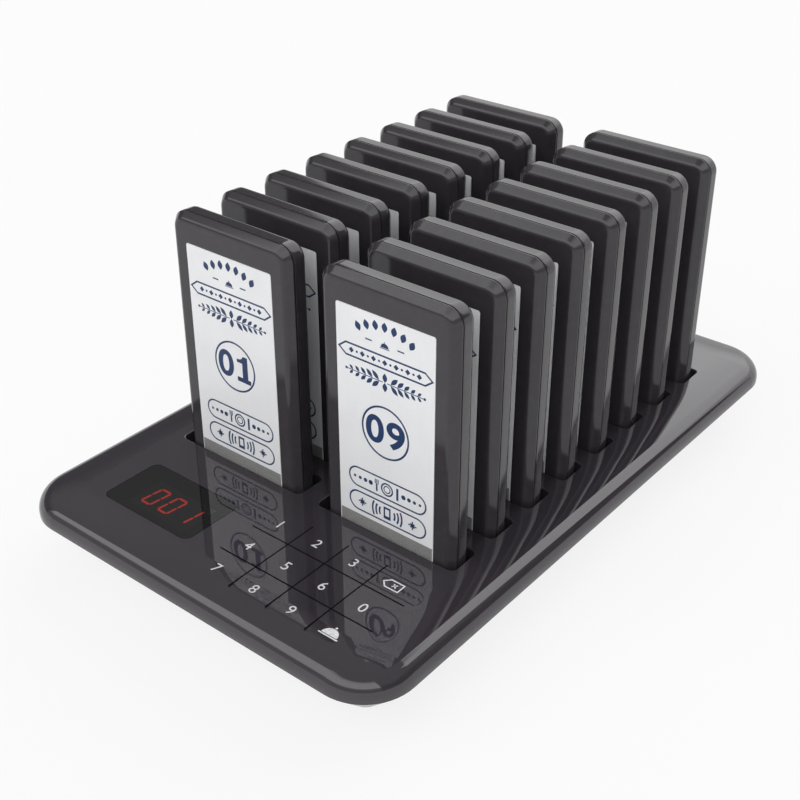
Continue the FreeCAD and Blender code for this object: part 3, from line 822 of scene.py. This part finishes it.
def pointed_band(y, width, height):
    """A band with a point at both ends."""
    end, shoulder = width / 2, width / 2 - 1.3 * height / 2
    low, high = y - height / 2, y + height / 2
    return [(-end, y), (-shoulder, low), (shoulder, low), (end, y), (shoulder, high), (-shoulder, high)]


def plate_sign(x, y):
    """A plate between a fork and a knife, with dots to both sides."""
    shapes = [ring_shape(x, y, 2.6, 0.6), ring_shape(x, y, 1.5, 0.4)]
    shapes += [bar(x + 4.4, y, 0.9, 4.8), bar(x - 4.4, y - 0.9, 0.7, 2.9)]
    shapes += [bar(x - 4.4 + 0.62 * tine, y + 1.5, 0.36, 1.9) for tine in (-1, 0, 1)]
    for side in (-1, 1):
        shapes += [circle(x + side * (7.0 + 2.3 * step), y, 0.9 - 0.12 * step, 20) for step in range(4)]
    return shapes


def buzz_sign(x, y):
    """A shaking pager with waves and sparks to both sides."""
    shapes = [(bar(x, y, 3.0, 4.8), bar(x, y + 0.2, 1.7, 2.8))]
    for side in (-1, 1):
        middle = 0 if side > 0 else 180
        for step in range(3):
            shapes.append(arc_stroke(x, y, 3.3 + 1.5 * step, 0.7, middle - 27, middle + 27))
        for turn in range(0, 180, 45):
            shapes.append(bar(x + side * 10.8, y, 3.4 if turn % 90 == 0 else 2.4, 0.5, turn))
    return shapes


def back_arrow(x, y, width, height, stroke):
    """The erase sign: a left-pointing tag with a cross in it."""
    half = height / 2

    def tag(inset):
        low, high = y - half + inset, y + half - inset
        left, right = x - width / 2 + inset * 1.5, x + width / 2 - inset
        shoulder = x - width / 2 + half + inset * 0.5
        return [(left, y), (shoulder, low), (right, low), (right, high), (shoulder, high)]

    cross = [bar(x + half / 2, y, half, stroke, turn) for turn in (45, -45)]
    return [(tag(0), tag(stroke)), *cross]


def segment_shapes(width, height, stroke, gap):
    """The seven bars of a digit, keyed a to g, as loops around the digit's middle."""
    nib = stroke / 2
    half, top = width / 2 - nib, height / 2 - nib

    def along(x, low, high):
        return [(x, low), (x + nib, low + nib), (x + nib, high - nib), (x, high), (x - nib, high - nib),
                (x - nib, low + nib)]

    def across(y):
        return [(a, b) for b, a in along(y, gap - half, half - gap)]

    return {
        "a": across(top), "g": across(0.0), "d": across(-top),
        "b": along(half, gap, top - gap), "c": along(half, -top + gap, -gap),
        "f": along(-half, gap, top - gap), "e": along(-half, -top + gap, -gap),
    }


LIT_SEGMENTS = {
    "0": "abcdef", "1": "bc", "2": "abged", "3": "abgcd", "4": "fgbc", "5": "afgcd", "6": "afgedc", "7": "abc",
    "8": "abcdefg", "9": "abfgcd",
}


# -------- Operators --------


class PAGERSYS_OT_base_finish(bpy.types.Operator):
    """Give the cases, inlet, feet and screws of the base their finishes"""

    bl_idname = "pagersys.base_finish"
    bl_label = "Base Finish"

    def execute(self, context):
        finish = context.scene.pager_system.finish
        dress("top_case", deck_plastic(finish))
        dress("bottom_case", hull_plastic(finish))
        dress("power_jack", black_moulding())
        dress("rubber_feet", foot_rubber())
        zinc = plated_metal("Zinc plate", (0.62, 0.63, 0.66), roughness=0.26)
        dress("case_screws", zinc)
        dress("board_screws", zinc)
        return {"FINISHED"}


class PAGERSYS_OT_electronics(bpy.types.Operator):
    """Give the boards and charging contacts inside the base their finishes"""

    bl_idname = "pagersys.electronics"
    bl_label = "Electronics"

    def execute(self, context):
        for node in ("touch_board", "control_board", "charge_board"):
            dress(node, shared(circuit_board, "Circuit board"))
        dress("charge_contacts", gold_plate())
        return {"FINISHED"}


class PAGERSYS_OT_display(bpy.types.Operator):
    """Build the display's digits behind their smoked pane"""

    bl_idname = "pagersys.display"
    bl_label = "Display"

    digit_width = 5.3
    digit_height = 10.0
    digit_pitch = 8.5
    first_x = -41.4
    middle_y = -102.6
    stroke = 0.85
    gap = 0.12
    slant = 0.12
    bar_depth = 0.04 * MM
    clearance = 0.01 * MM

    def execute(self, context):
        finish = context.scene.pager_system.finish
        dress("display_window", smoked_pane())
        dress("display_module", black_moulding())
        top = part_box("display_module")[1].z
        lit, dark = [], []
        for index, digit in enumerate(finish.shown_number):
            x = self.first_x + index * self.digit_pitch
            for key, loop in segment_shapes(self.digit_width, self.digit_height, self.stroke, self.gap).items():
                slanted = [(x + a + self.slant * b, self.middle_y + b) for a, b in loop]
                (lit if key in LIT_SEGMENTS[digit] else dark).append(slanted)
        off = printed_ink("Dark segment", (0.030, 0.008, 0.008), roughness=0.5, speckle=0.0)
        for name, loops, material in (("display_lit", lit, lit_segment(finish)), ("display_dark", dark, off)):
            mesh = filled(loops, self.bar_depth)
            show(name, mesh, "base", material, (0, 0, top + self.clearance))
        return {"FINISHED"}


class PAGERSYS_OT_keypad(bpy.types.Operator):
    """Print the numerals, signs and dividing lines of the touch keypad on the deck"""

    bl_idname = "pagersys.keypad"
    bl_label = "Keypad"

    columns = (4.6, 21.7, 37.9, 54.8)
    rows = (-87.2, -102.4, -117.4)
    dividers_x = (14.2, 30.57, 47.24)
    dividers_y = (-93.7, -109.1)
    divider_middle = (30.97, -101.4)
    divider_reach = (66.6, 40.4)
    divider_width = 0.55
    numeral_height = 4.1
    erase_size = (7.8, 4.4)
    erase_stroke = 0.5
    erase_drop = 0.8
    bell_size = 6.2
    bell_drop = 1.2
    print_thickness = 0.02 * MM

    def execute(self, context):
        finish = context.scene.pager_system.finish
        white = printed_ink("Legend ink", finish.legend_color, roughness=0.4, speckle=0.2)
        black = printed_ink("Divider ink", (0.004, 0.004, 0.005), roughness=0.6, speckle=0.02, ior=1.12)
        height = self.print_thickness
        for key, (x, y) in self.numeral_places().items():
            mesh = numerals(key, self.numeral_height * MM, height)
            show(f"key_{key}", mesh, "base", white, (x * MM, y * MM, DECK_HEIGHT))
        x, (top, _, low) = self.columns[3], self.rows
        erase = back_arrow(x, top - self.erase_drop, *self.erase_size, self.erase_stroke)
        call = counter_bell(x, low - self.bell_drop, self.bell_size)
        (middle_x, middle_y), (reach_x, reach_y) = self.divider_middle, self.divider_reach
        long_lines = [bar(x, middle_y, self.divider_width, reach_y) for x in self.dividers_x]
        wide_lines = [bar(middle_x, y, reach_x, self.divider_width) for y in self.dividers_y]
        prints = (
            ("key_erase", erase, white, height), ("key_call", call, white, height),
            ("key_dividers_long", long_lines, black, 0.8 * height), ("key_dividers_wide", wide_lines, black, height),
        )
        for name, loops, ink, thickness in prints:
            show(name, filled(loops, thickness), "base", ink, (0, 0, DECK_HEIGHT))
        return {"FINISHED"}

    def numeral_places(self):
        places = {str(3 * row + column + 1): (self.columns[column], self.rows[row])
                  for row in range(3) for column in range(3)}
        return places | {"0": (self.columns[3], self.rows[1])}


class PAGERSYS_OT_pager_shells(bpy.types.Operator):
    """Build the covers, charging pads and inner parts of every pager"""

    bl_idname = "pagersys.pager_shells"
    bl_label = "Pager Shells"

    cover_wall = 2.2 * MM
    face_wall = 1.4 * MM
    label_gap = 0.1 * MM
    label_recess = 0.15 * MM
    rear_wall = 3.1 * MM
    rear_belt = 0.7 * MM
    front_belt = 0.4 * MM
    lip_inset = 2.3 * MM
    lip_height = 1.1 * MM
    rear_draft = 0.2 * MM
    pad_spread = 14.0 * MM
    pad_half = 1.5 * MM
    pad_depth = 6.7 * MM
    pad_rise = 0.45 * MM
    pad_top = 9.0 * MM
    pad_corner, pad_round = 0.4 * MM, 0.15 * MM
    window_gap, window_corner = 0.2 * MM, 0.3 * MM
    window_low, window_high = -2 * MM, 5 * MM
    least_corner = 0.3 * MM
    recess_corner = 0.9 * MM
    recess_wear = 0.3
    sharp_round = 0.08 * MM
    front_belt_round, rear_belt_round = 0.2 * MM, 0.6 * MM
    # In millimetres: name, middle across and up, half width and height, corner, front, back, edge rounding, steps
    inner_parts = (
        ("board", 0, 53.5, 23.0, 49.5, 0.8, 4.2, 5.2, 0, 4),
        ("chip", 0, 53.5, 4.0, 4.0, 0.2, 3.0, 4.2, 0.1, 4),
        ("lower_left_lamp", -11.0, 6.5, 1.2, 1.2, 0.2, 3.2, 4.2, 0.1, 4),
        ("upper_left_lamp", -11.0, 100.5, 1.2, 1.2, 0.2, 3.2, 4.2, 0.1, 4),
        ("lower_right_lamp", 11.0, 6.5, 1.2, 1.2, 0.2, 3.2, 4.2, 0.1, 4),
        ("upper_right_lamp", 11.0, 100.5, 1.2, 1.2, 0.2, 3.2, 4.2, 0.1, 4),
        ("cell", 0, 52.0, 15.0, 20.0, 1.4, 5.2, 8.4, 0.7, 4),
        ("motor", 0, 91.0, 5.0, 5.0, 4.99, 5.2, 7.9, 0.3, 8),
    )

    def execute(self, context):
        settings = context.scene.pager_system
        plastic = cover_plastic(settings.finish)
        front = self.front_cover(settings.shell)
        rear = self.rear_cover(settings.shell)
        pads = self.pads()
        inside = self.inside()
        gold, board = gold_plate(), shared(circuit_board, "Circuit board")
        for pager in PAGERS:
            place = foot_of(*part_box(f"{pager}_front_cover"))
            piece = show(f"{pager}_front_shell", front, pager, plastic, place, True)
            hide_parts(f"{pager}_front_cover")
            piece = show(f"{pager}_rear_shell", rear, pager, plastic, place, True)
            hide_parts(f"{pager}_rear_assembly")
            show(f"{pager}_pads", pads, pager, gold, place, True)
            show(f"{pager}_inside", inside, pager, board, place, True)
        return {"FINISHED"}

    def rings(self, shell, line):
        """Rings of the pager's outline for a line of (inset, depth, rounded) points."""
        half_a, half_b = PAGER_WIDTH / 2, PAGER_HEIGHT / 2
        rings = []
        for inset, depth, _ in line:
            corner = max(shell.corner_radius - inset, self.least_corner)
            rings.append(ring(half_a - inset, half_b - inset, corner, depth, shell.corner_steps, (0.0, half_b)))
        return rings

    def front_cover(self, shell):
        """Dished cover: label recess, face, sloping band, belt, rim and hollow inside."""
        label_middle = (0.0, LABEL_FOOT + LABEL_HEIGHT / 2)
        half_a, half_b = LABEL_WIDTH / 2 + self.label_gap, LABEL_HEIGHT / 2 + self.label_gap
        recess = [
            ring(half_a, half_b, self.recess_corner, depth, shell.corner_steps, label_middle)
            for depth in (self.label_recess, 0.0)
        ]
        belt_front = shell.cover_depth - self.front_belt
        line = rounded_line(
            [
                (shell.cover_draft + 2 * shell.face_round, 0, 0),
                (shell.cover_draft, 0, shell.face_round),
                (0, belt_front, self.front_belt_round),
                (0, shell.cover_depth, self.sharp_round),
                (self.cover_wall, shell.cover_depth, 0),
                (self.cover_wall, self.face_wall, 0),
            ],
            shell.round_steps,
        )[1:]
        rings = recess + self.rings(shell, line)
        wear = [0.0, self.recess_wear] + [rounded for *_, rounded in line]
        return loft("front_shell", rings, upright, wear)

    def rear_cover(self, shell):
        """Rounded tray: lip in the seam, belt, wall, rounded back and hollow inside, with windows for the pads."""
        seam_back = shell.cover_depth + shell.seam_width
        lip_front = shell.cover_depth - self.lip_height
        inside_back = PAGER_DEPTH - self.face_wall
        line = rounded_line(
            [
                (self.rear_wall, inside_back, 0),
                (self.rear_wall, lip_front, 0),
                (self.lip_inset, lip_front, 0),
                (self.lip_inset, shell.cover_depth, 0),
                (shell.seam_depth, shell.cover_depth, 0),
                (shell.seam_depth, seam_back, 0),
                (0, seam_back, self.sharp_round),
                (0, seam_back + self.rear_belt, self.rear_belt_round),
                (self.rear_draft, PAGER_DEPTH, shell.back_round),
                (4 * shell.back_round, PAGER_DEPTH, 0),
            ],
            shell.round_steps,
        )[:-1]
        mesh = loft("rear_shell", self.rings(shell, line), upright, [rounded for *_, rounded in line])
        half = self.pad_half + self.window_gap
        tools = [
            slab("window", half, half, self.window_corner, self.window_low, self.window_high, flat, middle=spot)
            for spot in self.pad_spots()
        ]
        cut = evaluated(mesh, joined("windows", tools))
        cut.set_sharp_from_angle(angle=SHARP_ANGLE)
        return cut

    def pads(self):
        """Two plated pads that the charging contacts meet."""
        half = self.pad_half
        return joined("pads", [
            slab("pad", half, half, self.pad_corner, self.pad_rise, self.pad_top, flat, self.pad_round, middle=spot)
            for spot in self.pad_spots()
        ])

    def pad_spots(self):
        return [(side * self.pad_spread, self.pad_depth) for side in (-1, 1)]

    def inside(self):
        """Board with chip and lamps, cell and vibration motor."""
        parts = []
        for name, *lengths, steps in self.inner_parts:
            x, y, half_a, half_b, corner, front, back, rounding = (length * MM for length in lengths)
            parts.append(slab(name, half_a, half_b, corner, front, back, upright, rounding, steps, (x, y)))
        return joined("inside", parts)


class PAGERSYS_OT_pager_labels(bpy.types.Operator):
    """Give every pager its printed label and number, and a grey band of painted shade across each label's foot"""

    bl_idname = "pagersys.pager_labels"
    bl_label = "Pager Labels"

    number_height = 10.6
    digit_width = 7.6
    digit_pitch = 8.7
    number_middle = 46.25
    bold = 0.024
    one_width, one_stem, one_foot = 6.6, 2.6, 1.8
    # The band at the label's foot is painted shade: a grey print standing in for the shade near the deck
    band_height = 8.6
    band_foot = 0.2
    band_side = 0.3
    print_thickness = 0.015 * MM

    def execute(self, context):
        finish = context.scene.pager_system.finish
        film = label_film(finish)
        ink = printed_ink("Navy ink", finish.ink_color, roughness=0.42, speckle=0.15)
        stand = Matrix.Rotation(math.radians(90), 4, "X")
        ornament = filled(label_shapes(), self.print_thickness)
        ornament.transform(stand)
        # Painted shade: a grey band printed across the label's foot, darker than the film, in place of the shade there
        painted_shade = printed_ink("Grey band ink", (0.26, 0.26, 0.255), roughness=0.45, speckle=0.1)
        band_width = LABEL_WIDTH / MM - 2 * self.band_side
        band_y = self.band_foot + self.band_height / 2
        painted_foot_shade = filled([bar(0, band_y, band_width, self.band_height)], self.print_thickness)
        painted_foot_shade.transform(stand)
        for pager in PAGERS:
            dress(f"{pager}_label", film)
            place = foot_of(*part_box(f"{pager}_label"))
            show(f"{pager}_ornament", ornament, pager, ink, place)
            show(f"{pager}_foot_band", painted_foot_shade, pager, painted_shade, place)
            number = self.number(pager[-2:])
            number.transform(stand)
            show(f"{pager}_number", number, pager, ink, place + Vector((0, 0, self.number_middle * MM)))
        return {"FINISHED"}

    def number(self, digits):
        """Two bold figures side by side."""
        parts = []
        for side, digit in zip((-0.5, 0.5), digits):
            if digit == "1":
                one = numeral_one(self.one_width, self.number_height, self.one_stem, self.one_foot)
                part = filled([one], self.print_thickness)
            else:
                height, width = self.number_height * MM, self.digit_width * MM
                part = numerals(digit, height, self.print_thickness, self.bold, width)
            part.transform(Matrix.Translation((side * self.digit_pitch * MM, 0, 0)))
            parts.append(part)
        return joined("number", parts)


class PAGERSYS_OT_stage(bpy.types.Operator):
    """Set the floor, the studio's light and the camera"""

    bl_idname = "pagersys.stage"
    bl_label = "Stage"

    floor_reach = 6.0
    floor_steps = 96
    front_span = (math.radians(-59.7), math.radians(68))
    front_lean = math.radians(7)
    back_span = (math.radians(-41.5), math.radians(35))
    edge_softness = math.radians(0.6)
    frame_width = 36.0
    nearest = 0.01
    # Heights are the sines of elevations
    horizon_heights = (0.07, 0.17)
    overhead_heights = (0.40, 0.66)
    front_rise = (0.38, 0.50)
    front_dimming = (0.77, 0.885)
    front_end = (0.875, 0.895)
    front_foot, front_top = 0.2, 0.62
    back_rise = (0.28, 0.50)
    back_heights = (0.09, 0.82)
    back_foot = 0.5
    back_blur = 0.02

    def execute(self, context):
        studio = context.scene.pager_system.studio
        self.floor(context, studio)
        self.surroundings(context, studio)
        self.camera(context, studio)
        context.scene.view_settings.view_transform = "Standard"
        return {"FINISHED"}

    def floor(self, context, studio):
        shape = bmesh.new()
        bmesh.ops.create_circle(shape, cap_ends=True, segments=self.floor_steps, radius=self.floor_reach)
        mesh = bpy.data.meshes.new("floor")
        shape.to_mesh(mesh)
        shape.free()
        floor = bpy.data.objects.new("floor", mesh)
        context.scene.collection.objects.link(floor)
        material, tree, shader = new_material("Studio floor", Roughness=0.9, Specular_IOR_Level=0.0)
        cloud = noise(add_node(tree, "ShaderNodeTexCoord").outputs["Object"], 3.0, 2.0)
        color = rgba(studio.floor_color)
        pale = mix_color(remap(cloud, 0.3, 0.7), color, rgba(studio.floor_color, 0.99))
        feed(shader, Base_Color=pale)
        white = add_node(tree, "ShaderNodeEmission", {"Color": (1, 1, 1, 1), "Strength": 1.0})
        path = add_node(tree, "ShaderNodeLightPath").outputs
        seen = plus(path["Is Camera Ray"], path["Is Glossy Ray"], True)
        seen = plus(seen, path["Is Transmission Ray"], True)
        share = times(seen, studio.floor_glow)
        mix = add_node(tree, "ShaderNodeMixShader", {0: share, 1: shader.outputs[0], 2: white.outputs[0]})
        feed(tree.nodes["Material Output"], Surface=mix.outputs[0])
        mesh.materials.append(material)

    def surroundings(self, context, studio):
        """A dim room, white at the horizon, with a wide softbox in front of the object and one behind it."""
        world = bpy.data.worlds.new("Studio")
        context.scene.world = world
        world.use_nodes = True
        tree = world.node_tree
        direction = add_node(tree, "ShaderNodeTexCoord").outputs["Generated"]
        way = add_node(tree, "ShaderNodeSeparateXYZ", {0: direction}).outputs
        height = way["Z"]
        low = remap(height, *self.horizon_heights, studio.horizon_level, studio.room_level)
        high = remap(height, *self.overhead_heights, 0.0, studio.overhead_level - studio.room_level)
        room = plus(low, high)
        lean = times(times(height, height), self.front_lean)
        turn = math_node("ARCTAN2", way["X"], times(way["Y"], -1.0))
        across = band(plus(turn, lean), *self.front_span, self.edge_softness)
        upper = remap(height, *self.front_dimming, studio.front_level, self.front_top * studio.front_level)
        rise = times(remap(height, *self.front_rise, self.front_foot, 1.0), upper)
        front = times(across, times(rise, remap(height, *self.front_end, 1.0, 0.0)))
        across = band(math_node("ARCTAN2", way["X"], way["Y"]), *self.back_span, self.edge_softness)
        rise = remap(height, *self.back_rise, self.back_foot * studio.back_level, studio.back_level)
        back = times(across, times(rise, band(height, *self.back_heights, self.back_blur)))
        level = math_node("MAXIMUM", room, math_node("MAXIMUM", front, back))
        background = tree.nodes["Background"]
        background.inputs["Color"].default_value = (1, 1, 1, 1)
        feed(background, Strength=level)

    def camera(self, context, studio):
        azimuth, elevation = studio.camera_azimuth, studio.camera_elevation
        right = Vector((math.cos(azimuth), math.sin(azimuth), 0))
        back = Vector((
            math.sin(azimuth) * math.cos(elevation), -math.cos(azimuth) * math.cos(elevation), math.sin(elevation),
        ))
        up = back.cross(right)
        data = bpy.data.cameras.new("Camera")
        data.sensor_width = self.frame_width
        data.lens = studio.focal_length
        data.shift_y = studio.frame_shift
        data.clip_start = self.nearest
        camera = bpy.data.objects.new("Camera", data)
        context.scene.collection.objects.link(camera)
        turn = Matrix((right, up, back)).transposed().to_4x4()
        camera.matrix_world = Matrix.Translation(studio.camera_place) @ turn
        context.scene.camera = camera


class PAGERSYS_PT_panel(bpy.types.Panel):
    """Lists the steps that build the pager system"""

    bl_label = "Pager System"
    bl_idname = "PAGERSYS_PT_panel"
    bl_space_type = "VIEW_3D"
    bl_region_type = "UI"
    bl_category = "Pager System"

    def draw(self, context):
        for step in STEPS:
            self.layout.operator(step.bl_idname)
        settings = context.scene.pager_system
        for group in (settings.shell, settings.finish, settings.studio):
            box = self.layout.box()
            for name in group.__annotations__:
                box.prop(group, name)


STEPS = (
    PAGERSYS_OT_base_finish,
    PAGERSYS_OT_electronics,
    PAGERSYS_OT_display,
    PAGERSYS_OT_keypad,
    PAGERSYS_OT_pager_shells,
    PAGERSYS_OT_pager_labels,
    PAGERSYS_OT_stage,
)
CLASSES = (ShellSettings, FinishSettings, StudioSettings, PagerSystemSettings, *STEPS, PAGERSYS_PT_panel)


def register():
    for item in CLASSES:
        bpy.utils.register_class(item)
    bpy.types.Scene.pager_system = PointerProperty(type=PagerSystemSettings)


def unregister():
    del bpy.types.Scene.pager_system
    for item in reversed(CLASSES):
        bpy.utils.unregister_class(item)


def main():
    register()
    for step in STEPS:
        family, name = step.bl_idname.split(".")
        getattr(getattr(bpy.ops, family), name)()


if __name__ == "__main__":
    main()
